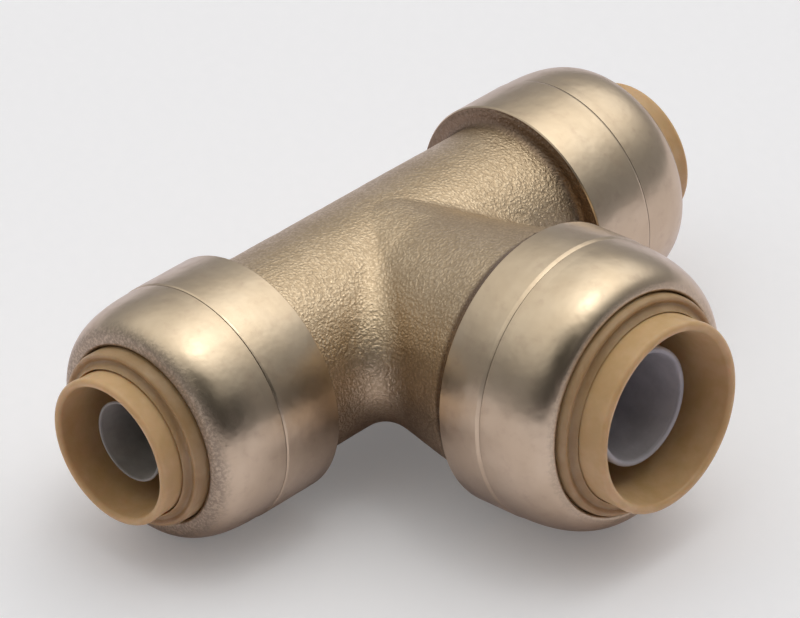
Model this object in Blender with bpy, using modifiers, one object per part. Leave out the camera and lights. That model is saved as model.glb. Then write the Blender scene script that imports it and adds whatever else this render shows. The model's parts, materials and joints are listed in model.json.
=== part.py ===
"""A brass push to connect reducing tee: one cast body and three ports of seven loose pieces each.

The run lies along X and the branch points along -Y. Each port is built along its own local +Z,
measured from the crossing of the axes, and then turned to face out of the tee.
"""

import bmesh
import bpy
from math import cos, pi, radians, sin
from mathutils import Matrix, Vector

MM = 0.001
SEGMENTS = 32           # facets round every turned piece
MERGE_DISTANCE = 0.00001
SHARP_EDGE = radians(35)

# Clearances in millimetres.
TUBE_GAP = 0.15         # between a tube and the bores it slides through
RING_GAP = 0.2          # between two rings, one inside the other
SLIDE_GAP = 0.15        # between the collar and the retainer's bore
NECK_GAP = 0.13         # between the retainer's neck and the cap's opening
CAP_GAP = 0.12          # between the spigot and the cap pressed over it
STACK_GAP = 0.15        # between the pieces stacked up in the bell
FACE_GAP = 0.1          # between two pieces that bear on each other end to end

# Driving sizes in millimetres. Lengths along a port are measured from the crossing of the axes.
RUN = {
    "tube_radius": 6.35,
    "waterway_radius": 4.0,
    "tube_stop": 14.2,
    "bell_radius": 12.15,
    "bell_start": 18.4,
    "seam": 25.3,
    "opening": 32.45,
    "opening_radius": 9.0,
    "nose_power": 2.6,
    "seat_radius": 8.8,
    "seal_section": 2.3,
    "ring_bore_radius": 9.65,
    "tooth_root_radius": 8.2,
    "tooth_tip_radius": 6.15,
    "tooth_count": 12,
    "spigot_radius": 10.75,
    "retainer_crest": 33.63,
    "retainer_face": 34.5,
    "retainer_bevel": 0.35,
    "collar_radius": 7.25,
    "rim": 36.6,
    "rim_radius": 7.46,
    "mouth_radius": 6.63,
    "liner_end": 33.96,
    "liner_radius": 4.1,
    "liner_bore_radius": 3.5,
    "liner_foot_radius": 6.15,
}
BRANCH = {
    "tube_radius": 7.94,
    "waterway_radius": 5.0,
    "tube_stop": 11.6,
    "bell_radius": 14.0,
    "bell_start": 20.7,
    "seam": 25.75,
    "opening": 32.75,
    "opening_radius": 11.0,
    "nose_power": 2.25,
    "seat_radius": 10.7,
    "seal_section": 2.6,
    "ring_bore_radius": 11.55,
    "tooth_root_radius": 10.0,
    "tooth_tip_radius": 7.75,
    "tooth_count": 16,
    "spigot_radius": 12.45,
    "retainer_crest": 33.4,
    "retainer_face": 34.2,
    "retainer_bevel": 0.2,
    "collar_radius": 9.25,
    "rim": 36.95,
    "rim_radius": 9.44,
    "mouth_radius": 8.45,
    "liner_end": 33.55,
    "liner_radius": 5.88,
    "liner_bore_radius": 4.9,
    "liner_foot_radius": 7.75,
}
PORTS = {"left": RUN, "right": RUN, "branch": BRANCH}

CAST_RADIUS = 10.2           # the run between its bells
BRANCH_ROOT_RADIUS = 10.35   # the branch where it leaves the run
BRANCH_FLARE_RADIUS = 13.3   # the branch where it meets its bell
BRANCH_STEP_CHAMFER = 0.5
SHOULDER_FILLET = 0.9        # at the foot of the rough shoulder behind a run bell
SEAM_CHAMFER = 0.25
SEAM_GAP = 0.12
CAP_STEP = 0.08              # the cap is this much smaller than the bell
NOSE_STEPS = 8

# Places along a port that follow from its seam.
SEAT_BACK = 5.6              # foot of the seal's seat, behind the seam
RING_STEP_BACK = 0.55        # step that the grab ring stands on
SPIGOT_LENGTH = 4.0          # the part of the body that the cap covers
CAP_STRAIGHT = 4.85          # straight inner wall of the cap
LIP_DEPTH = 0.85             # straight wall of the cap's opening
BARB_FRONT = 3.65            # front of the collar's barb, when the collar is fully out
BARB_HEIGHT = 0.65
BARB_LENGTH = 0.8
COLLAR_FOOT = 1.45           # inner end of the collar, when the collar is fully out
COLLAR_FOOT_BEVEL = 0.25
BEAD_WIDTH = 0.6             # the retainer's rounded outer edge
COLLAR_FLARE = 0.9           # length of the collar's flare behind its rim
RIM_BEVEL = 0.12
TEETH_THICKNESS = 0.4
TOOTH_SLOPE = 0.69           # axial fall of a tooth for each millimetre inwards
TOOTH_GAP_ANGLE = radians(6)
TOOTH_ROOT_RIM = 0.25        # whole metal left inside the rim at the foot of each slit
SLIT_OVERRUN = 0.5           # how far the slit cutters pass the metal
PROTECTOR_BORE_GAP = 0.25
PROTECTOR_DISH = 0.5         # clearance between the teeth and the dished front below them
SEAL_SQUEEZE = 0.15          # how much smaller than the tube the free seal is inside
SEAL_STEPS = 10
LINER_FOOT_THICKNESS = 1.2
LINER_BEVEL = 0.15
BORE_OVERRUN = 1.0

# The origin is the centre of the whole object's box, so the run stands off it along Y.
RUN_AXIS_Y = (BRANCH["rim"] - RUN["bell_radius"]) / 2
TEE_CENTRE = Vector((0.0, RUN_AXIS_Y, 0.0)) * MM

OUTWARD = {
    "left": Matrix(((0, 0, -1), (0, 1, 0), (1, 0, 0))),
    "right": Matrix(((0, 0, 1), (0, -1, 0), (1, 0, 0))),
    "branch": Matrix(((1, 0, 0), (0, 0, -1), (0, 1, 0))),
}


def clear_scene():
    for obj in list(bpy.data.objects):
        bpy.data.objects.remove(obj)


def new_collection(name):
    collection = bpy.data.collections.new(name)
    bpy.context.scene.collection.children.link(collection)
    return collection


def material(name, colour, roughness, metallic):
    result = bpy.data.materials.new(name)
    result.use_nodes = True
    shader = result.node_tree.nodes["Principled BSDF"]
    shader.inputs["Base Color"].default_value = (*colour, 1.0)
    shader.inputs["Roughness"].default_value = roughness
    shader.inputs["Metallic"].default_value = metallic
    result.diffuse_color = (*colour, 1.0)
    return result


def turned(name, outline, collection, finish=None, closed=True):
    """A turned solid from (length, radius) points, which run down the outer side first."""
    mesh = bpy.data.meshes.new(name)
    points = [(radius * MM, 0.0, length * MM) for length, radius in outline]
    edges = [(i, i + 1) for i in range(len(points) - 1)]
    if closed:
        edges.append((len(points) - 1, 0))
    mesh.from_pydata(points, edges, [])
    obj = bpy.data.objects.new(name, mesh)
    collection.objects.link(obj)
    screw = obj.modifiers.new("turn", "SCREW")
    screw.steps = SEGMENTS
    screw.render_steps = SEGMENTS
    screw.use_merge_vertices = True
    screw.merge_threshold = MERGE_DISTANCE
    if finish:
        mesh.materials.append(finish)
    return obj


def freeze(obj):
    """Replace an object's mesh by the one its modifiers make, and shade it smooth by angle."""
    graph = bpy.context.evaluated_depsgraph_get()
    mesh = bpy.data.meshes.new_from_object(obj.evaluated_get(graph))
    obj.modifiers.clear()
    obj.data = mesh
    mesh.shade_smooth()
    mesh.set_sharp_from_angle(angle=SHARP_EDGE)
    return obj


def aim(obj, port):
    obj.matrix_world = Matrix.Translation(TEE_CENTRE) @ OUTWARD[port].to_4x4()
    return obj


def boolean(obj, operation, other):
    step = obj.modifiers.new(operation.lower(), "BOOLEAN")
    step.operation = operation
    step.object = other
    step.solver = "EXACT"


def as_cutter(obj):
    obj.hide_render = True
    obj.display_type = "WIRE"
    return obj


def nose_radius(port, length):
    """The cap's rounded nose is a superellipse from the seam to the opening."""
    part_way = (length - port["seam"]) / (port["opening"] - port["seam"])
    power = port["nose_power"]
    rise = (1 - part_way**power) ** (1 / power)
    full = port["bell_radius"] - CAP_STEP
    return port["opening_radius"] + rise * (full - port["opening_radius"])


def nose_outline(port):
    """Points on the outside of the nose, from the opening back to the end of the straight part."""
    depth = port["opening"] - port["seam"]
    angles = [pi / 2 * (1 - i / NOSE_STEPS) for i in range(NOSE_STEPS)]
    lengths = [port["seam"] + depth * sin(angle) for angle in angles]
    return [(length, nose_radius(port, length)) for length in lengths]


def teeth_underside(port):
    """The length at which the grab ring's flat rim starts, just clear of its step."""
    return port["seam"] - RING_STEP_BACK + STACK_GAP


def end_cap(name, port, collection, finish):
    bore = port["spigot_radius"] + CAP_GAP
    foot = port["seam"] + SEAM_GAP
    skirt = port["bell_radius"] - CAP_STEP
    bevel = SEAM_CHAMFER / 2
    outline = nose_outline(port)
    outline += [
        (foot + bevel, skirt),
        (foot, skirt - bevel),
        (foot, bore),
        (port["seam"] + CAP_STRAIGHT, bore),
        (port["opening"] - LIP_DEPTH, port["opening_radius"]),
    ]
    return turned(name, outline, collection, finish)


def collar_retainer(name, port, collection, finish):
    """The ring that guides the collar: a beaded front, a flange held by the cap, and a chamber."""
    face = port["retainer_face"]
    bead = port["retainer_crest"]
    neck = port["opening_radius"] - NECK_GAP
    flange = port["spigot_radius"]
    sleeve = port["ring_bore_radius"] - RING_GAP
    bore = port["collar_radius"] + SLIDE_GAP
    chamber = port["collar_radius"] + BARB_HEIGHT + RING_GAP
    bevel = port["retainer_bevel"]
    flange_foot = port["seam"] + SPIGOT_LENGTH + FACE_GAP
    shoulder = port["seam"] + BARB_FRONT + RING_GAP
    foot = teeth_underside(port) + TEETH_THICKNESS + STACK_GAP
    outline = [
        (face, bore + 2 * bevel),
        (bead, neck - BEAD_WIDTH),
        (bead - BEAD_WIDTH / 2, neck),
        (port["opening"] - LIP_DEPTH - STACK_GAP, neck),
        (port["seam"] + CAP_STRAIGHT - STACK_GAP, flange),
        (flange_foot, flange),
        (flange_foot, sleeve),
        (foot, sleeve),
        (foot, chamber),
        (shoulder, chamber),
        (shoulder, bore),
        (face - 2 * bevel, bore),
        (face, bore + bevel),
    ]
    return turned(name, outline, collection, finish)


def release_collar(name, port, collection, finish):
    outer = port["collar_radius"]
    bore = port["tube_radius"] + TUBE_GAP
    foot = port["seam"] + COLLAR_FOOT
    barb = port["seam"] + BARB_FRONT
    outline = [
        (port["rim"], port["rim_radius"] - RIM_BEVEL),
        (port["rim"] - RIM_BEVEL, port["rim_radius"]),
        (port["rim"] - COLLAR_FLARE, outer),
        (barb, outer),
        (barb, outer + BARB_HEIGHT),
        (barb - BARB_LENGTH, outer + BARB_HEIGHT),
        (barb - BARB_LENGTH - BARB_HEIGHT, outer),
        (foot, outer - COLLAR_FOOT_BEVEL),
        (foot, bore + COLLAR_FOOT_BEVEL),
        (foot + COLLAR_FOOT_BEVEL, bore),
        (port["rim"] - COLLAR_FLARE, bore),
        (port["rim"], port["mouth_radius"]),
    ]
    return turned(name, outline, collection, finish)


def grab_ring(name, port, collection, cutters, finish):
    """A flat rim with a dished skirt, slit into teeth that lean in towards the tee."""
    rim = port["ring_bore_radius"] - RING_GAP
    under = teeth_underside(port)
    top = under + TEETH_THICKNESS
    root = port["tooth_root_radius"]
    tip = port["tooth_tip_radius"]
    fall = (root - tip) * TOOTH_SLOPE
    outline = [
        (top, rim),
        (under, rim),
        (under, root),
        (under - fall, tip),
        (top - fall, tip),
        (top, root),
    ]
    ring = turned(name, outline, collection, finish)
    slits = slit_cutter(name + "_slits", port, under - fall, top)
    cutters.objects.link(slits)
    boolean(ring, "DIFFERENCE", slits)
    return ring


def slit_cutter(name, port, low, high):
    """Thin radial blades, one between each two teeth, in one mesh of boxes."""
    count = port["tooth_count"]
    half_width = port["tooth_tip_radius"] * sin(TOOTH_GAP_ANGLE / 2)
    start = port["tooth_tip_radius"] - 2 * SLIT_OVERRUN
    reach = port["tooth_root_radius"] - TOOTH_ROOT_RIM
    size = Vector((reach - start, 2 * half_width, high - low + 2 * SLIT_OVERRUN)) * MM
    middle = Vector(((reach + start) / 2, 0.0, (low + high) / 2)) * MM
    blades = bmesh.new()
    for i in range(count):
        turn = Matrix.Rotation(2 * pi * (i + 0.5) / count, 4, "Z")
        place = turn @ Matrix.Translation(middle) @ Matrix.Diagonal(size).to_4x4()
        bmesh.ops.create_cube(blades, size=1.0, matrix=place)
    mesh = bpy.data.meshes.new(name)
    blades.to_mesh(mesh)
    blades.free()
    return as_cutter(bpy.data.objects.new(name, mesh))


def o_ring_protector(name, port, collection, finish):
    """A spacer whose front is dished to clear the teeth."""
    top = port["seam"] - RING_STEP_BACK - FACE_GAP / 2
    foot = port["seam"] - SEAT_BACK + port["seal_section"] + 2 * FACE_GAP
    outer = port["seat_radius"] - RING_GAP
    bore = port["tube_radius"] + PROTECTOR_BORE_GAP
    root = port["tooth_root_radius"]
    dish = teeth_underside(port) - (root - bore) * TOOTH_SLOPE - PROTECTOR_DISH
    outline = [
        (top, outer),
        (foot, outer),
        (foot, bore),
        (dish, bore),
        (top, min(root, outer) - TOOTH_ROOT_RIM / 2),
    ]
    return turned(name, outline, collection, finish)


def o_ring(name, port, collection, finish):
    radius = port["seal_section"] / 2
    centre_length = port["seam"] - SEAT_BACK + FACE_GAP + radius
    centre_radius = port["tube_radius"] - SEAL_SQUEEZE + radius
    outline = []
    for i in range(SEAL_STEPS):
        angle = pi / 2 - 2 * pi * i / SEAL_STEPS
        outline.append((centre_length + radius * sin(angle), centre_radius + radius * cos(angle)))
    return turned(name, outline, collection, finish)


def tube_liner(name, port, collection, finish):
    """The stiffener: a plain sleeve for the tube to slide over, on a foot that stops the tube."""
    outer = port["liner_radius"]
    bore = port["liner_bore_radius"]
    foot = port["tube_stop"] + FACE_GAP
    outline = [
        (port["liner_end"], outer - LINER_BEVEL),
        (port["liner_end"] - 3 * LINER_BEVEL, outer),
        (foot + LINER_FOOT_THICKNESS, outer),
        (foot + LINER_FOOT_THICKNESS, port["liner_foot_radius"]),
        (foot, port["liner_foot_radius"]),
        (foot, bore),
        (port["liner_end"], bore),
    ]
    return turned(name, outline, collection, finish)


def body_end(port):
    """The outside of one end of the casting, from its spigot back to the foot of its bell."""
    return [
        (port["seam"] + SPIGOT_LENGTH, 0.0),
        (port["seam"] + SPIGOT_LENGTH, port["spigot_radius"]),
        (port["seam"], port["spigot_radius"]),
        (port["seam"], port["bell_radius"] - SEAM_CHAMFER),
        (port["seam"] - SEAM_CHAMFER, port["bell_radius"]),
        (port["bell_start"], port["bell_radius"]),
    ]


def bore_end(port):
    """The stepped bore of one port, from outside the spigot in to the waterway."""
    seat = port["seam"] - SEAT_BACK
    step = port["seam"] - RING_STEP_BACK
    outside = port["seam"] + SPIGOT_LENGTH + BORE_OVERRUN
    socket = port["tube_radius"] + TUBE_GAP
    return [
        (outside, 0.0),
        (outside, port["ring_bore_radius"]),
        (step, port["ring_bore_radius"]),
        (step, port["seat_radius"]),
        (seat, port["seat_radius"]),
        (seat, socket),
        (port["tube_stop"], socket),
        (port["tube_stop"], port["waterway_radius"]),
    ]


def mirrored(outline):
    """A run outline carried on past the branch to the opposite port."""
    return outline + [(-length, radius) for length, radius in reversed(outline)]


def run_outline():
    middle = SHOULDER_FILLET * (1 - cos(pi / 4))
    fillet = [
        (RUN["bell_start"], CAST_RADIUS + SHOULDER_FILLET),
        (RUN["bell_start"] - middle, CAST_RADIUS + middle),
        (RUN["bell_start"] - SHOULDER_FILLET, CAST_RADIUS),
    ]
    return mirrored(body_end(RUN) + fillet)


def branch_outline():
    return body_end(BRANCH) + [
        (BRANCH["bell_start"] - BRANCH_STEP_CHAMFER, BRANCH_FLARE_RADIUS),
        (CAST_RADIUS, BRANCH_ROOT_RADIUS),
        (0.0, BRANCH_ROOT_RADIUS),
        (0.0, 0.0),
    ]


def tee_body(name, collection, cutters, finish):
    body = aim(turned(name, run_outline(), collection, finish, closed=False), "right")
    branch = aim(turned("branch_casting", branch_outline(), cutters, closed=False), "branch")
    run_bore = turned("run_bore", mirrored(bore_end(RUN)), cutters, closed=False)
    branch_bore_outline = bore_end(BRANCH) + [(0.0, BRANCH["waterway_radius"]), (0.0, 0.0)]
    branch_bore = turned("branch_bore", branch_bore_outline, cutters, closed=False)
    boolean(body, "UNION", as_cutter(branch))
    boolean(body, "DIFFERENCE", as_cutter(aim(run_bore, "right")))
    boolean(body, "DIFFERENCE", as_cutter(aim(branch_bore, "branch")))
    return body


def build():
    clear_scene()
    parts = new_collection("push_to_connect_tee")
    cutters = new_collection("cutters")
    brass = material("brass", (0.60, 0.49, 0.33), 0.32, 1.0)
    tan = material("tan_polymer", (0.57, 0.36, 0.16), 0.45, 0.0)
    steel = material("stainless_steel", (0.62, 0.62, 0.63), 0.30, 1.0)
    rubber = material("black_rubber", (0.02, 0.02, 0.02), 0.60, 0.0)
    spacer = material("dark_polymer", (0.10, 0.10, 0.11), 0.50, 0.0)
    grey = material("grey_polymer", (0.34, 0.34, 0.35), 0.45, 0.0)

    pieces = [tee_body("tee_body", parts, cutters, brass)]
    for side, port in PORTS.items():
        made = [
            end_cap("end_cap_" + side, port, parts, brass),
            collar_retainer("collar_retainer_" + side, port, parts, tan),
            release_collar("release_collar_" + side, port, parts, tan),
            grab_ring("grab_ring_" + side, port, parts, cutters, steel),
            o_ring_protector("o_ring_protector_" + side, port, parts, spacer),
            o_ring("o_ring_" + side, port, parts, rubber),
            tube_liner("tube_liner_" + side, port, parts, grey),
        ]
        for piece in made:
            aim(piece, side)
        aim(cutters.objects["grab_ring_" + side + "_slits"], side)
        pieces += made
    bpy.context.view_layer.update()
    for piece in pieces:
        freeze(piece)


build()
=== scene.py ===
"""The looks of a brass push to connect reducing tee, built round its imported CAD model."""
import json
from math import cos, hypot, pi, radians, sin

import bmesh
import bpy
import numpy as np
from mathutils import Matrix, Vector, noise


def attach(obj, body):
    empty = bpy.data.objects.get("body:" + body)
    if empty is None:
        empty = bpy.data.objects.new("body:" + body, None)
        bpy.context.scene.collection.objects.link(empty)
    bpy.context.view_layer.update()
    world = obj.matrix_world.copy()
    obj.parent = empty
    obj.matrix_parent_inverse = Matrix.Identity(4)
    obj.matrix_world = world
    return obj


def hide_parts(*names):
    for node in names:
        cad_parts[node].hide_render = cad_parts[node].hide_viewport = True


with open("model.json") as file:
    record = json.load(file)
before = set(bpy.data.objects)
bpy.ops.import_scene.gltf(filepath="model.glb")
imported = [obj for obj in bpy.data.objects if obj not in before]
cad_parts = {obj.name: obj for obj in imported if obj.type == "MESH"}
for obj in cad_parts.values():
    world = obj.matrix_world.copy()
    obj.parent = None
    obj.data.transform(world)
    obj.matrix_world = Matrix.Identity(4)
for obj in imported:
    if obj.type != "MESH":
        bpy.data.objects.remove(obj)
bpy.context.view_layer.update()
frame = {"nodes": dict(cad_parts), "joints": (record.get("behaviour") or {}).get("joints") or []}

MM = 0.001
SIDES = ("left", "right", "branch")
FACETS = 192               # round each turned piece
BORE_FACETS = 96           # round the pieces and bores that are mostly hidden
ARC_STEP = radians(15)     # between points on a rounded corner
LEAST_TURN = radians(8)    # a corner that turns less than this isn't rounded
CURVE_STEPS = 4            # between two points of a smooth curve
LIP_STEPS = 6              # points on a cap's rolled lip
RIM_STEPS = 15             # and on a collar's rim
FLARE_STEPS = 9            # and on its flare
LEAD_STEPS = 8             # and on the taper inside its mouth
LINER_STEPS = 9            # and on the end of a tube liner
SEAL_STEPS = 28            # round an o-ring's section
SHARP_ANGLE = radians(32)  # an edge that turns more than this stays sharp
MERGE = 2e-7               # points nearer than this are one point, in metres

# The casting and its bells. Every size from here to the colours is in mm.
CAST_VOXEL = 0.24          # mesh size of the casting's skin
PROJECTION_STEPS = 12      # times that mesh is drawn onto the field
LONGEST_MOVE = 0.4         # of a point in one of them
JUNCTION_FILLET = 5.0      # blend between the run and the branch
FILLET_START = -3.0        # it grows from here along the branch
FILLET_RISE = 8.0          # and is full this far on
FILLET_FADE = 1.5          # how fast it fades where the two skins turn parallel
FLARE_EARLY = 0.6          # the branch's flare begins at this share of its CAD start
FLARE_POWER = 1.15         # how late the branch flares out towards its bell
SHOULDER_FILLET = 0.9      # blend at the foot of a run bell's shoulder
SHOULDER_PROUD = 0.12      # the rough shoulder stands this far behind the machined bell
SHOULDER_INSET = 0.3       # and stops this far short of its outer edge
LEDGE_PROUD = 0.4          # the casting's ledge stands this far behind the branch bell
LEDGE_DROP = 0.5           # the branch meets it this far below its CAD outline
LEDGE_FILLET = 1.3         # with this blend
CAST_LAP = 2.0             # how far the casting's skin goes on inside a bell
CAST_SWELL = 0.04          # height of the casting's slow unevenness
CAST_PEBBLE = 0.010        # height of its pebbled grain
BRANCH_CORNER_SHADE = 0.8        # the painted shade behind the branch bell is wider by this than that behind a run bell
BELL_CHAMFER = 0.14        # on a bell's machined edge over the casting
SEAM_BEVEL = {"left": (0.22, 0.06), "right": (0.22, 0.06), "branch": (0.42, 0.12)}   # length, depth
SEAM_ROUND = 0.05          # radius of the edges at the seam
BORE_ROUND = 0.1           # and of those in the bores
BORE_OVERRUN = 1.0         # a bore's cutter stands out of the body this far
BORE_PAST = 0.5            # and goes this far past the crossing of the axes
BORE_SHARE = 0.82          # faces within this share of the run's radius belong to a bore
PAST_SHOULDER = 0.8        # an outline's corner this far behind a run bell is on the plain run
AT_BELL = (0.02, 0.1)      # margins along and across for a face to be on a bell

# The pieces in each port.
SEAM_GAP = 0.01            # between a bell and its cap
LIP_ROLL = 0.35            # radius of the cap's lip, rolled in at its opening
HIDDEN_ROUND = 0.15        # radius of the edges that are out of sight
LIP_BAND = {"left": (3.8, 0.9), "right": (3.8, 0.9), "branch": (1.8, 0.4)}   # its width, how matt it is
LIP_BACK = 0.25            # how far the retainer's raised edge stands back from its CAD face
LIP_EDGE = {"left": 0.08, "right": 0.08, "branch": 0.02}        # and outside its bore
THROAT_DEPTH = {"left": 0.6, "right": 0.6, "branch": 0.3}       # behind it the retainer closes in
RETAINER_ROUND = 0.12      # radius of the retainer's back edges
BARREL_FILL = {"left": 0.10, "right": 0.10, "branch": 0.13}     # the collar nearly fills the bore
RIM_ROUNDNESS = 1.1        # depth of a collar's full-round rim, in half walls
FLARE_LENGTH = 1.2         # length of a collar's flare behind its rim
LEAD_IN = 2.5              # length of the taper inside its mouth
LINER_RIM = {"left": 0.28, "right": 0.28, "branch": 0.62}       # wall of a liner's rounded end
LINER_EASE = {"left": 3.0, "right": 3.0, "branch": 4.0}         # length of the easing inside that end

# Colours, linear. A pair is the pale tone and the deep one that drift into each other.
BRASS = ((0.70, 0.57, 0.405), (0.64, 0.512, 0.355))
BRASS_STAIN = (0.52, 0.385, 0.275)
BRASS_GRAINY = (0.36, 0.29, 0.215)     # in the matt band at a cap's lip
CAST = ((0.74, 0.59, 0.40), (0.66, 0.52, 0.345))
# brown in the pebbles' hollows, and also painted shade on the casting's underside
CAST_HOLLOW_AND_UNDER_SHADE = (0.36, 0.25, 0.145)
CAST_CORNER_SHADE = (0.20, 0.135, 0.09)      # painted shade, in the corners of the casting behind the bells
TAN = ((0.69, 0.468, 0.245), (0.62, 0.405, 0.187))
# the collars' tan made darker, as painted shade on the retainers
SHADED_RETAINER_TAN = ((0.49, 0.33, 0.175), (0.42, 0.27, 0.128))
RUN_GREY = ((0.36, 0.34, 0.31), (0.27, 0.255, 0.23))
BRANCH_GREY = ((0.51, 0.495, 0.51), (0.41, 0.40, 0.41))
SPACER_GREY = ((0.10, 0.10, 0.11), (0.07, 0.07, 0.08))
RUBBER = ((0.022, 0.022, 0.023), (0.012, 0.012, 0.012))
STEEL = ((0.60, 0.60, 0.61), (0.52, 0.49, 0.44))
FLOOR = ((0.90, 0.90, 0.92), (0.87, 0.87, 0.89))
FLOOR_MIRRORED = (0.98, 0.94, 1.06)    # what the fitting reflects of the floor
FLOOR_GLOW = 0.14                      # lifts the floor towards white, for the camera alone
TAN_SOFTNESS = 0.6                     # share of light that passes through the tan mouldings
SOFT_DEPTH = 0.9                       # how deep it goes, in mm
SOFT_SPREAD = Vector((1.0, 0.7, 0.45))  # and its share in red, green and blue

# The light is a sky.
SKY_LOW = 0.33             # its strength low down
SKY_HIGH = 1.05            # and high up
SKY_FLOOR = 0.045          # and the least it may be on the dark side
SKY_RISE = (0.3, 1.0)      # the heights, as sines of elevation, between which it brightens
SKY_TINT = (-0.1, 0.9)     # and between which its colour goes from cool to warm
SKY_COOL = (0.97, 0.97, 1.06)
SKY_WARM = (1.0, 0.99, 0.97)
BACKDROP = (0.93, 0.93, 0.94)
# Each soft light in it has azimuth, elevation, the half angles at which it is full and at which it
# ends, in degrees, and its strength. Azimuth 0 is +Y and 90 is +X. A negative one is a dark screen.
SOFT_LIGHTS = (
    (135, 76, 10, 32, 0.58),
    (147, 77, 3, 8, 3.0),
    (92, 46, 8, 32, 0.56),
    (-150, 24, 22, 64, -0.29),
    (-142, 50, 6, 28, -0.48),
    (150, 10, 10, 55, -0.08),
    (-80, 12, 10, 45, -0.08),
)

FLOOR_SIZE = 4.0           # in metres
FLOOR_SQUARES = 8
FLOOR_CLEARANCE = 0.05     # between it and the bells, in mm
CAMERA_AZIMUTH = radians(-43.82)
CAMERA_ELEVATION = radians(30.22)
CAMERA_DISTANCE = 0.473    # from the crossing of the tee's axes, in metres
CAMERA_LENS = 220.0
CAMERA_CLIP = 0.01
CAMERA_AIM = Vector((0.6, -1.6, -1.3)) * MM   # from that crossing


# ---------------------------------------------------------------- sizes, read off the frame

class Port:
    """One port of the tee: its axes, and its CAD pieces' outlines along and across them, in mm."""

    def __init__(self, side):
        spin = next(j for j in frame["joints"] if j["name"] == side + "_grip_spin")
        self.side = side
        self.origin = np.array(spin["pos_m"], float)
        self.out = np.array(spin["axis"], float)
        self.up = np.array((0.0, 0.0, 1.0))
        self.across = np.cross(self.up, self.out)
        self.axes = np.column_stack((self.across, self.up, self.out))
        away = (0.0, 1.0) if side == "branch" else tuple(self.axes.T[:2] @ (0.0, 1.0, 0.0))
        self.clear_half = away     # the half plane in which the body is cut by no other port
        self.body = self.outline("tee_body", away)
        self.bell_radius = max(radius for _, radius in self.body)
        self.bell_start = min(length for length, radius in self.body
                              if radius > self.bell_radius - 0.01 and length > 0)
        self.seam = self.body[1][0]

    def local(self, points):
        """Across, up and along this port, in mm, for points in the frame in metres."""
        return (points - self.origin) @ self.axes / MM

    def placed(self, local):
        """Points in the frame, in metres, for local ones in mm."""
        return self.origin + local @ self.axes.T * MM

    def outline(self, node, half=(0.0, 1.0), inner=False):
        """A CAD node's outline in one half plane through the axis, as (length, radius) corners.

        It starts at the greatest length and goes down the outer side, or the inner one.
        """
        mesh = bmesh.new()
        mesh.from_mesh(frame["nodes"][node].data)
        bmesh.ops.remove_doubles(mesh, verts=mesh.verts, dist=1e-7)
        local = self.local(np.array([v.co for v in mesh.verts]))
        radius = local[:, :2] @ np.array(half)
        aside = local[:, :2] @ np.array((half[1], -half[0]))
        inside = (np.abs(aside) < 0.002) & (radius > 0)
        links = {v.index: [] for v in mesh.verts if inside[v.index]}
        for edge in mesh.edges:
            a, b = (v.index for v in edge.verts)
            if a in links and b in links:
                links[a].append(b)
                links[b].append(a)
        mesh.free()
        pick = min if inner else max
        chain = [max(links, key=lambda i: (round(local[i, 2], 3), radius[i]))]
        onward = links[chain[0]]
        while onward:
            chain.append(pick(onward, key=lambda i: radius[i]))
            onward = [i for i in links[chain[-1]] if i not in chain]
        return [(float(local[i, 2]), float(radius[i])) for i in chain]


PORTS = {side: Port(side) for side in SIDES}
TEE_CENTRE = Vector(PORTS["branch"].origin)


# ---------------------------------------------------------------- outlines

def rounded(corners, radius, sharp=()):
    """A closed outline with its corners turned into arcs. sharp lists corners left as they are."""
    count = len(corners)
    result = []
    for i, corner in enumerate(corners):
        here = np.array(corner)
        before = np.array(corners[i - 1]) - here
        after = np.array(corners[(i + 1) % count]) - here
        reach = min(np.linalg.norm(before), np.linalg.norm(after)) * 0.45
        before /= np.linalg.norm(before)
        after /= np.linalg.norm(after)
        half = np.arccos(np.clip(before @ after, -1, 1)) / 2
        turn = pi - 2 * half
        if i in sharp or turn < LEAST_TURN:
            result.append(tuple(here))
            continue
        cut = min(radius / np.tan(half), reach)
        bisector = (before + after) / np.linalg.norm(before + after)
        centre = here + bisector * hypot(cut, cut * np.tan(half))
        start = here + before * cut - centre
        steps = max(2, int(np.ceil(turn / ARC_STEP)))
        way = np.sign(start[0] * after[1] - start[1] * after[0]) or 1.0
        for step in range(steps + 1):
            angle = way * turn * step / steps
            spoke = (start[0] * cos(angle) - start[1] * sin(angle),
                     start[0] * sin(angle) + start[1] * cos(angle))
            result.append(tuple(centre + spoke))
    return result


def curve_through(points, steps):
    """A smooth curve through points, as a Catmull-Rom spline."""
    known = [np.array(p) for p in points]
    known = [2 * known[0] - known[1], *known, 2 * known[-1] - known[-2]]
    result = []
    for a, b, c, d in zip(known, known[1:], known[2:], known[3:]):
        for step in range(steps):
            t = step / steps
            result.append(tuple(0.5 * (2 * b + (c - a) * t + (2 * a - 5 * b + 4 * c - d) * t**2
                                       + (3 * b - a - 3 * c + d) * t**3)))
    return result + [tuple(known[-2])]


# ---------------------------------------------------------------- meshes

def mesh_object(name, points, faces):
    """A new object in the scene, from points in metres."""
    mesh = bpy.data.meshes.new(name)
    mesh.from_pydata([tuple(p) for p in points], [], faces)
    obj = bpy.data.objects.new(name, mesh)
    bpy.context.scene.collection.objects.link(obj)
    return obj


def turned(name, port, outline, facets=FACETS):
    """A closed solid of (length, radius) points turned about a port's axis."""
    count = len(outline)
    angles = np.arange(facets) * 2 * pi / facets
    local = np.zeros((count, facets, 3))
    for i, (length, radius) in enumerate(outline):
        local[i, :, 0] = radius * np.sin(angles)
        local[i, :, 1] = radius * np.cos(angles)
        local[i, :, 2] = length
    faces = []
    for i in range(count):
        low, high = i * facets, (i + 1) % count * facets
        for j in range(facets):
            beside = (j + 1) % facets
            faces.append((low + j, high + j, high + beside, low + beside))
    obj = mesh_object(name, port.placed(local.reshape(-1, 3)), faces)
    tidy(obj)
    return obj


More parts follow.
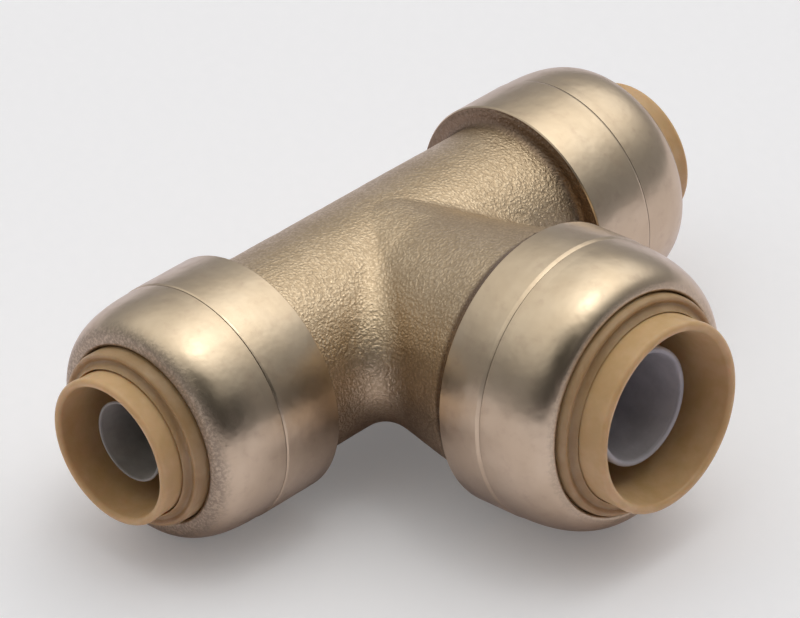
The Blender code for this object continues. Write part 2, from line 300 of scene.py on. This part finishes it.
def tidy(obj):
    """Merges what meets, points every face outwards and shades smooth between its edges."""
    mesh = bmesh.new()
    mesh.from_mesh(obj.data)
    bmesh.ops.remove_doubles(mesh, verts=mesh.verts, dist=MERGE)
    bmesh.ops.dissolve_degenerate(mesh, edges=mesh.edges, dist=1e-8)
    bmesh.ops.recalc_face_normals(mesh, faces=mesh.faces)
    mesh.to_mesh(obj.data)
    mesh.free()
    obj.data.shade_smooth()
    obj.data.set_sharp_from_angle(angle=SHARP_ANGLE)


def applied(obj):
    """Replaces an object's mesh by the one its modifiers make."""
    graph = bpy.context.evaluated_depsgraph_get()
    mesh = bpy.data.meshes.new_from_object(obj.evaluated_get(graph))
    obj.modifiers.clear()
    obj.data = mesh


def combine(obj, operation, other):
    """Joins another solid to this one or cuts it out, and uses the other up."""
    step = obj.modifiers.new(operation.lower(), "BOOLEAN")
    step.operation = operation
    step.object = other
    step.solver = "MANIFOLD"
    applied(obj)
    bpy.data.objects.remove(other)


def port_coordinates(obj, local, around):
    """Keeps each point's place on its port in mm, and the way round the axis, for the materials."""
    for name, values in (("port_mm", local), ("around", around)):
        attribute = obj.data.attributes.new(name, "FLOAT_VECTOR", "POINT")
        attribute.data.foreach_set("vector", values.astype(np.float32).ravel())


def vertices(obj):
    """An object's points, in metres."""
    points = np.empty(len(obj.data.vertices) * 3, np.float32)
    obj.data.vertices.foreach_get("co", points)
    return points.reshape(-1, 3).astype(float)


def around_axis(port, local):
    """The unit vector round the port's axis at each point."""
    radius = np.maximum(np.hypot(local[:, 0], local[:, 1]), 1e-6)[:, None]
    return (local[:, [1]] * port.across - local[:, [0]] * port.up) / radius


def finish_piece(obj, port, body, node, material):
    """Hangs a finished piece on its body in place of its CAD node."""
    local = port.local(vertices(obj))
    port_coordinates(obj, local, around_axis(port, local))
    obj.data.materials.append(material)
    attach(obj, body)
    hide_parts(node)


# ---------------------------------------------------------------- the cast body

def smooth_min(a, b, blend):
    """The lesser of two distances, with a fillet of the given size where they meet."""
    blend = np.maximum(blend, 1e-6)
    near = np.maximum(blend - np.abs(a - b), 0) / blend
    return np.minimum(a, b) - near**2 * blend / 4


class Casting:
    """The casting between the bells, as a distance in mm that is negative inside the metal."""

    def __init__(self):
        run, branch = PORTS["right"], PORTS["branch"]
        self.run_bell_start = run.bell_start
        self.shoulder_radius = run.bell_radius - SHOULDER_INSET
        self.run_radius = next(r for a, r in run.body if a < run.bell_start - PAST_SHOULDER)
        self.branch_bell_start = branch.bell_start
        self.ledge_radius = branch.bell_radius - SHOULDER_INSET
        self.flare_end, self.flare_radius = next(p for p in branch.body if p[0] < branch.bell_start)
        self.flare_start, self.root_radius = next(p for p in branch.body if p[0] < self.flare_end)

    def distance(self, x, y, z):
        """x, y and z run along the tee's own axes, with the branch along -y."""
        run_r = np.hypot(y, z)
        branch_r = np.hypot(x, z)
        length = -y
        begin = self.flare_start * FLARE_EARLY
        flare = np.clip((length - begin) / (self.flare_end - begin), 0, 1)
        flared_radius = self.flare_radius - LEDGE_DROP
        radius = self.root_radius + (flared_radius - self.root_radius) * flare**FLARE_POWER
        branch = np.hypot(branch_r, np.minimum(length - 2.0, 0)) - radius
        run = run_r - self.run_radius
        # The fillet fades out where the two skins run along each other, over the crest and behind it.
        crossing = np.clip(1 - np.abs(z * z / np.maximum(run_r * branch_r, 1e-6)), 0, 1)
        front = np.clip((length - FILLET_START) / FILLET_RISE, 0, 1)
        skin = smooth_min(run, branch, JUNCTION_FILLET * crossing**FILLET_FADE * front)
        behind = self.run_bell_start - SHOULDER_PROUD - np.abs(x)
        skin = smooth_min(skin, np.maximum(behind, run_r - self.shoulder_radius), SHOULDER_FILLET)
        behind = self.branch_bell_start - LEDGE_PROUD - length
        skin = smooth_min(skin, np.maximum(behind, branch_r - self.ledge_radius), LEDGE_FILLET)
        ends = np.maximum(np.abs(x) - self.run_bell_start, length - self.branch_bell_start)
        return np.maximum(skin, ends - CAST_LAP)

    def gradient(self, points, step=0.01):
        result = np.empty_like(points)
        for axis in range(3):
            shift = np.zeros(3)
            shift[axis] = step
            rise = self.distance(*(points + shift).T) - self.distance(*(points - shift).T)
            result[:, axis] = rise / (2 * step)
        return result


def cast_height(p):
    """Height of the sand-cast surface over the smooth one, in mm, at a place in mm."""
    swell = noise.noise(p * 0.28) + 0.5 * noise.noise(p * 0.7 + Vector((9, 4, 2)))
    pebble = noise.noise(p * 1.5 + Vector((3, 7, 1))) + 0.6 * noise.noise(p * 2.6)
    return CAST_SWELL * swell + CAST_PEBBLE * pebble


def rough_casting(field):
    """The casting's skin: a voxel mesh drawn onto the field, then roughened as sand casting is."""
    reach = field.run_bell_start + CAST_LAP
    shoulder = [(reach, 0.0), (reach, field.shoulder_radius),
                (field.run_bell_start, field.shoulder_radius), (field.run_bell_start, field.run_radius)]
    bar = turned("tee_body_brass", PORTS["right"],
                 shoulder + [(-length, radius) for length, radius in reversed(shoulder)], BORE_FACETS)
    reach = field.branch_bell_start + CAST_LAP
    neck = turned("neck", PORTS["branch"], [
        (reach, 0.0), (reach, field.ledge_radius), (field.branch_bell_start, field.ledge_radius),
        (field.flare_end, field.flare_radius), (field.flare_start, field.root_radius),
        (2.0, field.root_radius), (0.0, 0.0)], BORE_FACETS)
    combine(bar, "UNION", neck)
    remesh = bar.modifiers.new("skin", "REMESH")
    remesh.mode = "VOXEL"
    remesh.voxel_size = CAST_VOXEL * MM
    applied(bar)

    points = (vertices(bar) - np.array(TEE_CENTRE)) / MM
    for _ in range(PROJECTION_STEPS):
        slope = field.gradient(points)
        steep = np.maximum((slope**2).sum(axis=1), 0.2)
        move = np.clip(field.distance(*points.T) / steep, -LONGEST_MOVE, LONGEST_MOVE)
        points -= move[:, None] * slope
    normal = field.gradient(points)
    normal /= np.linalg.norm(normal, axis=1)[:, None]
    height = np.array([cast_height(Vector(p)) for p in points])
    points += normal * height[:, None]
    places = np.array(TEE_CENTRE) + points * MM
    bar.data.vertices.foreach_set("co", places.astype(np.float32).ravel())
    bar.data.update()
    return bar


def bell(port):
    """A machined bell as a solid: its spigot, the bevel at the seam, the bell and its rear edge."""
    spigot = port.body[:2]
    seam = spigot[-1][0]
    length, depth = SEAM_BEVEL[port.side]
    corners = [(spigot[0][0], 0.0), *spigot, (seam, port.bell_radius - depth),
               (seam - length, port.bell_radius),
               (port.bell_start + BELL_CHAMFER, port.bell_radius),
               (port.bell_start, port.bell_radius - BELL_CHAMFER), (port.bell_start, 0.0)]
    outline = rounded(corners, SEAM_ROUND, sharp=(0, len(corners) - 1))
    return turned("bell_" + port.side, port, outline)


def bore(port):
    """The stepped bore of one port, from outside the spigot in past the crossing of the axes."""
    inner = port.outline("tee_body", port.clear_half, inner=True)
    end = inner[0][0]
    steps = []
    for length, radius in inner[1:]:
        steps.append((length, radius))
        # The waterway is the first narrow step well behind the bell.
        if length < port.bell_start * 0.8 and radius < port.bell_radius / 2:
            break
    end += BORE_OVERRUN
    corners = [(end, 0.0), (end, steps[0][1]), *steps[1:], (-BORE_PAST, steps[-1][1]), (-BORE_PAST, 0.0)]
    outline = rounded(corners, BORE_ROUND, sharp=(0, len(corners) - 1))
    return turned("bore_" + port.side, port, outline, BORE_FACETS)


def tee_body(cast, machined):
    """The body: the casting joined to its machined bells, and cut by the bores."""
    field = Casting()
    body = rough_casting(field)
    for port in PORTS.values():
        combine(body, "UNION", bell(port))
    for port in PORTS.values():
        combine(body, "DIFFERENCE", bore(port))
    tidy(body)

    run, branch = PORTS["right"], PORTS["branch"]
    points = vertices(body)
    on_run, on_branch = run.local(points), branch.local(points)
    far_out = on_branch[:, 2] > branch.bell_start - 1.0
    local = np.where(far_out[:, None], on_branch, on_run)
    around = np.where(far_out[:, None], around_axis(branch, on_branch), around_axis(run, on_run))
    port_coordinates(body, local, around)
    # to_bell places the casting's painted shade in the corners behind the bells; behind the branch bell
    # the shade is drawn wider
    to_run_bell = run.bell_start - np.abs(on_run[:, 2])
    to_branch_bell = branch.bell_start - on_branch[:, 2] - BRANCH_CORNER_SHADE
    to_bell = np.minimum(to_run_bell, to_branch_bell)
    attribute = body.data.attributes.new("to_bell", "FLOAT", "POINT")
    attribute.data.foreach_set("value", to_bell.astype(np.float32))

    centres = np.empty(len(body.data.polygons) * 3, np.float32)
    body.data.polygons.foreach_get("center", centres)
    centres = centres.reshape(-1, 3).astype(float)
    is_machined = np.zeros(len(centres), bool)
    for port in PORTS.values():
        local = port.local(centres)
        radius = np.hypot(local[:, 0], local[:, 1])
        on_bell = ((local[:, 2] > port.bell_start + AT_BELL[0])
                   & (radius < port.bell_radius + AT_BELL[1]))
        in_bore = (local[:, 2] > -1) & (radius < field.run_radius * BORE_SHARE)
        is_machined |= on_bell | in_bore
    body.data.materials.clear()
    body.data.materials.append(cast)
    body.data.materials.append(machined)
    body.data.polygons.foreach_set("material_index", is_machined.astype(np.int32))
    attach(body, "fitting")
    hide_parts("tee_body")


# ---------------------------------------------------------------- the loose pieces of a port

def end_cap(port, material):
    """The pressed cap: a lip rolled in at its opening, a smooth nose and a straight skirt."""
    node = "end_cap_" + port.side
    corners = port.outline(node)
    opening = min(radius for _, radius in corners)
    skirt = next(i for i, (length, radius) in enumerate(corners)
                 if abs(radius - max(r for _, r in corners)) < 0.01)
    nose = curve_through(corners[:skirt + 1], CURVE_STEPS)
    lip = corners[0][0]
    rolled = [(lip - LIP_ROLL * (1 - sin(angle)), opening + LIP_ROLL * (1 - cos(angle)))
              for angle in np.linspace(0, pi / 2, LIP_STEPS)]
    nose = [p for p in nose if p[1] > opening + LIP_ROLL * 1.1]
    skirt_radius = corners[skirt][1]
    foot = port.seam + SEAM_GAP
    nose = [q for q in nose if q[0] > foot + 1]
    inside = [nose[-1], (foot, skirt_radius), (foot, corners[-3][1]), *corners[-2:]]
    inside = rounded(inside, SEAM_ROUND)[1:]
    obj = turned(node + "_drawn_brass", port, rolled + nose + inside)
    finish_piece(obj, port, "fitting", node, material)


def collar_retainer(port, material):
    """The tan ring round the collar: a bead against the cap, and a valley that sweeps up the collar."""
    node = "collar_retainer_" + port.side
    corners = port.outline(node)
    face, bore_radius = corners[0][0] - LIP_BACK, corners[-2][1]
    crest, neck = corners[1][0], corners[2][1]
    width = neck - bore_radius
    edge = bore_radius + LIP_EDGE[port.side]
    # From the raised edge at the collar, down into the valley and up over the bead at the cap.
    front = curve_through([
        (face - 0.08, edge),
        (face, edge + 0.06),
        (face - 0.12 * width, edge + 0.13 * width),
        (crest + 0.08, bore_radius + 0.30 * width),
        (crest - 0.08, bore_radius + 0.46 * width),
        (crest + 0.04, bore_radius + 0.60 * width),
        (crest + 0.14, bore_radius + 0.74 * width),
        (crest + 0.04, bore_radius + 0.90 * width),
        (crest - 0.35, neck),
    ], CURVE_STEPS)
    throat = (face - THROAT_DEPTH[port.side], bore_radius)
    back = [front[-1], *corners[3:-1], throat, front[0]]
    back = rounded(back, RETAINER_ROUND, sharp=(0, len(back) - 1))
    obj = turned(node + "_moulding", port, front + back[1:-1])
    finish_piece(obj, port, "fitting", node, material)


def release_collar(port, material):
    """The thin sleeve that is pushed in to let the tube go, gently flared behind its rim."""
    node = "release_collar_" + port.side
    corners = port.outline(node)
    rim, rim_radius = corners[0][0], corners[1][1]
    barrel = corners[2][1] + BARREL_FILL[port.side]
    mouth, bore_radius = corners[-1][1], corners[-2][1]
    middle, half_wall = (rim_radius + mouth) / 2, (rim_radius - mouth) / 2
    depth = half_wall * RIM_ROUNDNESS
    round_rim = [(rim - depth * (1 - cos(angle)), middle + half_wall * sin(angle))
                 for angle in np.linspace(-pi / 2, pi / 2, RIM_STEPS)]
    flare = [(rim - depth - FLARE_LENGTH * t, barrel + (rim_radius - barrel) * (1 - t) ** 2)
             for t in np.linspace(0.1, 1, FLARE_STEPS)]
    lead_in = [(rim - depth - LEAD_IN * t, bore_radius + (mouth - bore_radius) * (1 - t) ** 1.6)
               for t in np.linspace(1, 0.1, LEAD_STEPS)]
    hidden = rounded(corners[3:-2], HIDDEN_ROUND)
    obj = turned(node + "_moulding", port, round_rim + flare + hidden + lead_in)
    finish_piece(obj, port, "collar_" + port.side, node, material)


def o_ring(port, material):
    """The rubber seal: a round section about the middle of its CAD outline."""
    node = "o_ring_" + port.side
    corners = np.array(port.outline(node))
    centre = corners.mean(axis=0)
    radius = np.linalg.norm(corners - centre, axis=1).mean()
    angles = -np.arange(SEAL_STEPS) * 2 * pi / SEAL_STEPS
    circle = [(centre[0] + radius * cos(a), centre[1] + radius * sin(a)) for a in angles]
    obj = turned(node + "_rubber", port, circle, BORE_FACETS)
    finish_piece(obj, port, "fitting", node, material)


def o_ring_protector(port, material):
    """The plastic spacer between the seal and the teeth."""
    node = "o_ring_protector_" + port.side
    obj = turned(node + "_moulding", port, rounded(port.outline(node), HIDDEN_ROUND), BORE_FACETS)
    finish_piece(obj, port, "fitting", node, material)


def tube_liner(port, material):
    """The stiffener's thin sleeve, with a full round on its open end."""
    node = "tube_liner_" + port.side
    corners = port.outline(node)
    bore_radius = min(radius for _, radius in corners)
    end, outer = corners[0][0], corners[1][1]
    rim = LINER_RIM[port.side]
    round_end = [(end - rim * 0.4 * (1 - sin(angle)), outer - rim * 0.5 * (1 - cos(angle)))
                 for angle in np.linspace(pi, 0, LINER_STEPS)]
    eased = (end - LINER_EASE[port.side], bore_radius)
    foot = rounded([round_end[-1], *corners[2:-1], eased, round_end[0]], HIDDEN_ROUND)
    obj = turned(node + "_moulding", port, round_end + foot[2:-2], BORE_FACETS)
    finish_piece(obj, port, "fitting", node, material)


# ---------------------------------------------------------------- material nodes

class Shader:
    """A material or world made of nodes by short calls. Places are in mm."""

    def __init__(self, owner):
        owner.use_nodes = True
        self.tree = owner.node_tree
        self.owner = owner

    def node(self, kind, inputs=(), **settings):
        """A node with its inputs linked or set, and its own settings."""
        made = self.tree.nodes.new("ShaderNode" + kind)
        for name, value in settings.items():
            setattr(made, name, value)
        for key, value in dict(inputs).items():
            if isinstance(value, bpy.types.NodeSocket):
                self.tree.links.new(value, made.inputs[key])
            else:
                made.inputs[key].default_value = value
        return made

    def math(self, operation, a, b=0.0):
        return self.node("Math", {0: a, 1: b}, operation=operation).outputs[0]

    def vector_math(self, operation, a, b=(0, 0, 0)):
        made = self.node("VectorMath", {0: a, 1: b}, operation=operation)
        return made.outputs["Value" if operation in ("LENGTH", "DOT_PRODUCT") else "Vector"]

    def attribute(self, name):
        return self.node("Attribute", attribute_name=name).outputs["Vector"]

    def place(self):
        """The place on the object itself, in mm."""
        return self.vector_math("MULTIPLY", self.node("TexCoord").outputs["Object"], (1 / MM,) * 3)

    def noise(self, vector, scale, detail, rough):
        """Noise from 0 to 1. scale is in grains per mm, and rough is how strong its finer octaves are."""
        inputs = {"Vector": vector, "Scale": scale, "Detail": detail, "Roughness": rough}
        return self.node("TexNoise", inputs).outputs["Fac"]

    def cells(self, vector, scale, smoothness):
        """The distance from the middle of the nearest of many cells, with scale cells per mm."""
        inputs = {"Vector": vector, "Scale": scale, "Smoothness": smoothness}
        return self.node("TexVoronoi", inputs, feature="SMOOTH_F1").outputs["Distance"]

    def spread(self, value, low, high, to_low=0.0, to_high=1.0):
        """Maps low..high to to_low..to_high, smoothly and clamped."""
        inputs = {0: value, 1: low, 2: high, 3: to_low, 4: to_high}
        return self.node("MapRange", inputs, interpolation_type="SMOOTHSTEP").outputs[0]

    def blend(self, factor, a, b):
        """Mixes two colours."""
        made = self.node("Mix", {"Factor": factor}, data_type="RGBA")
        for socket, value in ((made.inputs[6], a), (made.inputs[7], b)):
            if isinstance(value, bpy.types.NodeSocket):
                self.tree.links.new(value, socket)
            else:
                socket.default_value = (*value, 1.0)
        return made.outputs[2]

    def drift(self, value, low, high, tones):
        """Goes from the deep tone of a pair to the pale one as value goes from low to high."""
        pale, deep = tones
        return self.blend(self.spread(value, low, high), deep, pale)

    def bump(self, height, depth, normal=None):
        """height runs 0 to 1 and is depth mm tall."""
        inputs = {"Height": height, "Distance": depth * MM, "Strength": 1.0}
        if normal is not None:
            inputs["Normal"] = normal
        return self.node("Bump", inputs).outputs["Normal"]

    def finish(self, **inputs):
        """Sets the Principled shader's inputs, named with _ for a space."""
        shader = self.tree.nodes["Principled BSDF"]
        for name, value in inputs.items():
            socket = shader.inputs[name.replace("_", " ")]
            if isinstance(value, bpy.types.NodeSocket):
                self.tree.links.new(value, socket)
            elif isinstance(value, tuple):
                socket.default_value = (*value, 1.0)
            else:
                socket.default_value = value
        return self.owner


def profile_place(s):
    """The place on the port, the part of it across the axis, and the way along the turned profile."""
    place = s.attribute("port_mm")
    parts = s.node("SeparateXYZ", {0: place})
    flat = s.node("CombineXYZ", {0: parts.outputs[0], 1: parts.outputs[1]}).outputs[0]
    profile = s.math("SUBTRACT", parts.outputs[2], s.vector_math("LENGTH", flat))
    return place, flat, profile


def lathe_lines(s, flat, profile, run, pitch):
    """Noise in lines round the axis: run is how far a line goes on, and pitch its width, in mm."""
    scaled = s.vector_math("MULTIPLY", flat, (1 / run, 1 / run, 0))
    across = s.node("CombineXYZ", {2: s.math("DIVIDE", profile, pitch)}).outputs[0]
    return s.noise(s.vector_math("ADD", scaled, across), 1.0, 1.0, 0.5)


def machined_brass(name, lip=None):
    """Turned or drawn brass. lip is (length, width, strength) of a matt band at a cap's opening."""
    s = Shader(bpy.data.materials.new(name))
    place, flat, profile = profile_place(s)
    fine = lathe_lines(s, flat, profile, 30.0, 0.5)
    broad = lathe_lines(s, flat, profile, 40.0, 1.1)
    cloud = s.noise(place, 0.22, 3.0, 0.55)
    stain = s.noise(place, 0.75, 4.0, 0.6)
    grain = s.noise(place, 3.0, 2.0, 0.5)
    scuff_place = s.vector_math("MULTIPLY", place, (2.2, 2.2, 0.45))
    scuff = s.spread(s.noise(scuff_place, 1.0, 2.0, 0.6), 0.55, 0.74)

    colour = s.drift(cloud, 0.35, 0.68, BRASS)
    colour = s.blend(s.math("MULTIPLY", s.spread(stain, 0.52, 0.75), 0.35), colour, BRASS_STAIN)
    colour = s.blend(s.math("MULTIPLY", s.spread(broad, 0.3, 0.7), 0.06), colour, BRASS_STAIN)
    rough = s.spread(broad, 0.3, 0.7, 0.275, 0.295)
    rough = s.math("ADD", rough, s.math("MULTIPLY", s.spread(stain, 0.4, 0.7), 0.04))
    rough = s.math("ADD", rough, s.math("MULTIPLY", scuff, 0.03))
    normal = s.bump(fine, 0.0004)
    normal = s.bump(broad, 0.0025, normal)
    normal = s.bump(grain, 0.0012, normal)
    normal = s.bump(s.noise(place, 0.5, 2.0, 0.5), 0.05, normal)
    if lip:
        ragged = s.math("ADD", s.math("MULTIPLY", grain, 0.5), s.math("MULTIPLY", stain, 1.6))
        edge = s.math("SUBTRACT", s.math("SUBTRACT", profile, lip[0] - 0.8), ragged)
        matt = s.math("MULTIPLY", s.spread(edge, -lip[1], -0.45 * lip[1]), lip[2])
        pits = s.noise(place, 3.4, 4.0, 0.7)
        worn = s.math("MULTIPLY", matt, s.spread(pits, 0.38, 0.58, 0.35, 1.0))
        colour = s.blend(worn, colour, BRASS_GRAINY)
        rough = s.math("ADD", rough, s.math("MULTIPLY", worn, 0.2))
        normal = s.bump(s.math("MULTIPLY", pits, matt), 0.06, normal)
    around = s.node("VectorTransform", {0: s.attribute("around")}, vector_type="VECTOR",
                    convert_from="OBJECT", convert_to="WORLD").outputs[0]
    lengthwise = s.vector_math("CROSS_PRODUCT", around, s.node("NewGeometry").outputs["Normal"])
    return s.finish(Base_Color=colour, Metallic=1.0, Roughness=rough, Normal=normal,
                    Anisotropic=0.25, Tangent=lengthwise)


def cast_brass():
    """Sand-cast and tumbled brass: pebbled, brown in the hollows and bright on the grain tops; painted
    shade darkens it towards the bottom and behind the bells.
    """
    s = Shader(bpy.data.materials.new("cast_brass"))
    place = s.place()
    warp = s.node("TexNoise", {"Vector": place, "Scale": 1.3, "Detail": 2.0}).outputs["Color"]
    place = s.vector_math("ADD", place, s.vector_math("MULTIPLY", warp, (0.3, 0.3, 0.3)))
    pebble = s.cells(place, 3.1, 0.45)
    small = s.noise(place, 5.0, 3.0, 0.6)
    cloud = s.noise(place, 0.16, 3.0, 0.55)
    height = s.math("ADD", s.math("MULTIPLY", s.math("SUBTRACT", 1.0, pebble), 0.7), small)
    colour = s.drift(cloud, 0.35, 0.68, CAST)
    colour = s.blend(s.spread(height, 0.72, 1.12, 0.45, 0.0), colour, CAST_HOLLOW_AND_UNDER_SHADE)
    # Painted shade: the casting darkens towards its underside.
    low = s.spread(s.node("SeparateXYZ", {0: place}).outputs[2], -8.0, 3.0, 0.45, 0.0)
    colour = s.blend(low, colour, CAST_HOLLOW_AND_UNDER_SHADE)
    # Painted shade: the casting is darkened in the corners just behind the bells.
    to_bell = s.node("Attribute", attribute_name="to_bell").outputs["Fac"]
    corner = s.spread(s.math("ADD", to_bell, s.math("MULTIPLY", small, 0.5)), 0.7, 1.5, 0.85, 0.0)
    colour = s.blend(corner, colour, CAST_CORNER_SHADE)
    rough = s.spread(height, 0.7, 1.2, 0.42, 0.30)
    normal = s.bump(height, 0.075)
    normal = s.bump(s.noise(place, 9.0, 3.0, 0.6), 0.006, normal)
    return s.finish(Base_Color=colour, Metallic=1.0, Roughness=rough, Normal=normal)


def moulded_polymer(name, tones, rough, soft=0.0):
    """A moulded plastic: slow tone changes, a fine eggshell surface and faint handling marks."""
    s = Shader(bpy.data.materials.new(name))
    place, flat, profile = profile_place(s)
    cloud = s.noise(place, 0.35, 3.0, 0.6)
    lines = lathe_lines(s, flat, profile, 14.0, 0.35)
    marks = s.noise(s.vector_math("MULTIPLY", place, (1.6, 1.6, 0.5)), 1.0, 5.0, 0.75)
    colour = s.drift(cloud, 0.32, 0.7, tones)
    colour = s.blend(s.math("MULTIPLY", s.spread(marks, 0.6, 0.8), 0.25), colour, tones[1])
    tone = s.spread(marks, 0.35, 0.7, rough - 0.05, rough + 0.07)
    normal = s.bump(s.noise(place, 7.0, 3.0, 0.6), 0.008)
    normal = s.bump(lines, 0.006, normal)
    normal = s.bump(s.noise(place, 0.8, 2.0, 0.5), 0.03, normal)
    return s.finish(Base_Color=colour, Roughness=tone, Normal=normal, Specular_IOR_Level=0.38,
                    Subsurface_Weight=soft, Subsurface_Radius=SOFT_SPREAD,
                    Subsurface_Scale=SOFT_DEPTH * MM)


def spring_steel():
    """Stamped stainless: rolled grain with faint heat tint."""
    s = Shader(bpy.data.materials.new("stainless_spring_steel"))
    place = s.place()
    grain = s.noise(s.vector_math("MULTIPLY", place, (9.0, 0.8, 9.0)), 1.0, 3.0, 0.6)
    tint = s.spread(s.noise(place, 0.5, 3.0, 0.5), 0.4, 0.7)
    colour = s.blend(tint, *STEEL)
    return s.finish(Base_Color=colour, Metallic=1.0, Roughness=s.spread(grain, 0.3, 0.7, 0.2, 0.36),
                    Normal=s.bump(grain, 0.004))


# ---------------------------------------------------------------- light, floor and camera

def direction(azimuth, elevation):
    """A unit vector; azimuth 0 is +Y and 90 is +X, in degrees."""
    a, e = radians(azimuth), radians(elevation)
    return (sin(a) * cos(e), cos(a) * cos(e), sin(e))


def studio():
    """A soft studio as a sky: a pale dome with broad soft lights and one dark side."""
    world = bpy.data.worlds.new("studio")
    bpy.context.scene.world = world
    s = Shader(world)
    way = s.node("TexCoord").outputs["Generated"]
    height = s.node("SeparateXYZ", {0: way}).outputs[2]
    level = s.spread(height, *SKY_RISE, SKY_LOW, SKY_HIGH)
    warm = s.spread(height, *SKY_TINT)
    for azimuth, elevation, inner, outer, strength in SOFT_LIGHTS:
        near = s.vector_math("DOT_PRODUCT", way, direction(azimuth, elevation))
        glow = s.spread(near, cos(radians(outer)), cos(radians(inner)), 0.0, strength)
        level = s.math("ADD", level, glow)
    level = s.math("MAXIMUM", level, SKY_FLOOR)
    colour = s.blend(warm, SKY_COOL, SKY_WARM)
    lit = s.node("Background", {"Color": colour, "Strength": level}).outputs[0]
    plain = s.node("Background", {"Color": (*BACKDROP, 1.0), "Strength": 1.0}).outputs[0]
    seen = s.node("LightPath").outputs["Is Camera Ray"]
    mixed = s.node("MixShader", {0: seen, 1: lit, 2: plain}).outputs[0]
    s.tree.links.new(mixed, s.tree.nodes["World Output"].inputs["Surface"])


def floor():
    """A pale sheet under the three bells, seen only from above. Returns the way up from it."""
    run, branch = PORTS["right"], PORTS["branch"]
    reach = hypot(branch.bell_start, branch.bell_radius)
    tilt = np.arccos(run.bell_radius / reach) - np.arctan2(branch.bell_start, branch.bell_radius)
    normal = Vector((0.0, -sin(tilt), cos(tilt)))
    mesh = bmesh.new()
    bmesh.ops.create_grid(mesh, x_segments=FLOOR_SQUARES, y_segments=FLOOR_SQUARES, size=FLOOR_SIZE / 2)
    data = bpy.data.meshes.new("floor")
    mesh.to_mesh(data)
    mesh.free()
    obj = bpy.data.objects.new("floor", data)
    obj.rotation_euler = (tilt, 0.0, 0.0)
    obj.location = TEE_CENTRE - normal * (run.bell_radius + FLOOR_CLEARANCE) * MM
    bpy.context.scene.collection.objects.link(obj)

    s = Shader(bpy.data.materials.new("paper"))
    fibre = s.noise(s.place(), 0.9, 4.0, 0.6)
    tone = s.drift(fibre, 0.3, 0.7, FLOOR)
    seen = s.node("LightPath").outputs["Is Camera Ray"]
    s.finish(Base_Color=s.blend(seen, FLOOR_MIRRORED, tone), Roughness=0.8,
             Normal=s.bump(fibre, 0.01), Emission_Color=(1.0, 1.0, 1.0),
             Emission_Strength=s.math("MULTIPLY", seen, FLOOR_GLOW))
    s.owner.cycles.emission_sampling = "NONE"
    sheet = s.tree.nodes["Principled BSDF"].outputs[0]
    clear = s.node("BsdfTransparent").outputs[0]
    under = s.node("NewGeometry").outputs["Backfacing"]
    shown = s.node("MixShader", {0: under, 1: sheet, 2: clear}).outputs[0]
    s.tree.links.new(shown, s.tree.nodes["Material Output"].inputs["Surface"])
    data.materials.append(s.owner)
    return normal


def camera(up):
    """The camera at the photograph's angle, held level with the floor."""
    data = bpy.data.cameras.new("camera")
    data.lens = CAMERA_LENS
    data.clip_start = CAMERA_CLIP
    obj = bpy.data.objects.new("camera", data)
    bpy.context.scene.collection.objects.link(obj)
    bpy.context.scene.camera = obj
    back = Vector((sin(CAMERA_AZIMUTH) * cos(CAMERA_ELEVATION),
                   -cos(CAMERA_AZIMUTH) * cos(CAMERA_ELEVATION), sin(CAMERA_ELEVATION)))
    place = TEE_CENTRE + back * CAMERA_DISTANCE
    away = (place - TEE_CENTRE - CAMERA_AIM).normalized()
    side = up.cross(away).normalized()
    turn = Matrix((side, away.cross(side), away)).transposed()
    obj.matrix_world = Matrix.Translation(place) @ turn.to_4x4()


# ---------------------------------------------------------------- assembly

def build():
    """Makes every piece of the fitting. The grab rings keep their CAD shape."""
    machined = machined_brass("machined_brass")
    tan = moulded_polymer("tan_polymer", TAN, 0.40, TAN_SOFTNESS)
    # the retainers get a darker copy of the tan, as painted shade
    shaded_retainer_tan = moulded_polymer("shaded_retainer_polymer", SHADED_RETAINER_TAN, 0.40, TAN_SOFTNESS)
    rubber = moulded_polymer("black_rubber", RUBBER, 0.5)
    spacer = moulded_polymer("dark_polymer", SPACER_GREY, 0.5)
    run_grey = moulded_polymer("run_grey_polymer", RUN_GREY, 0.42)
    branch_grey = moulded_polymer("branch_grey_polymer", BRANCH_GREY, 0.42)
    steel = spring_steel()

    tee_body(cast_brass(), machined)
    for side, port in PORTS.items():
        cap_corners = port.outline("end_cap_" + side)
        lip = (cap_corners[0][0] - min(r for _, r in cap_corners), *LIP_BAND[side])
        end_cap(port, machined_brass("cap_brass_" + side, lip))
        collar_retainer(port, shaded_retainer_tan)
        release_collar(port, tan)
        o_ring(port, rubber)
        o_ring_protector(port, spacer)
        tube_liner(port, branch_grey if side == "branch" else run_grey)
        teeth = frame["nodes"]["grab_ring_" + side]
        teeth.data.materials.clear()
        teeth.data.materials.append(steel)


build()
studio()
camera(floor())
bpy.context.scene.view_settings.view_transform = "Standard"
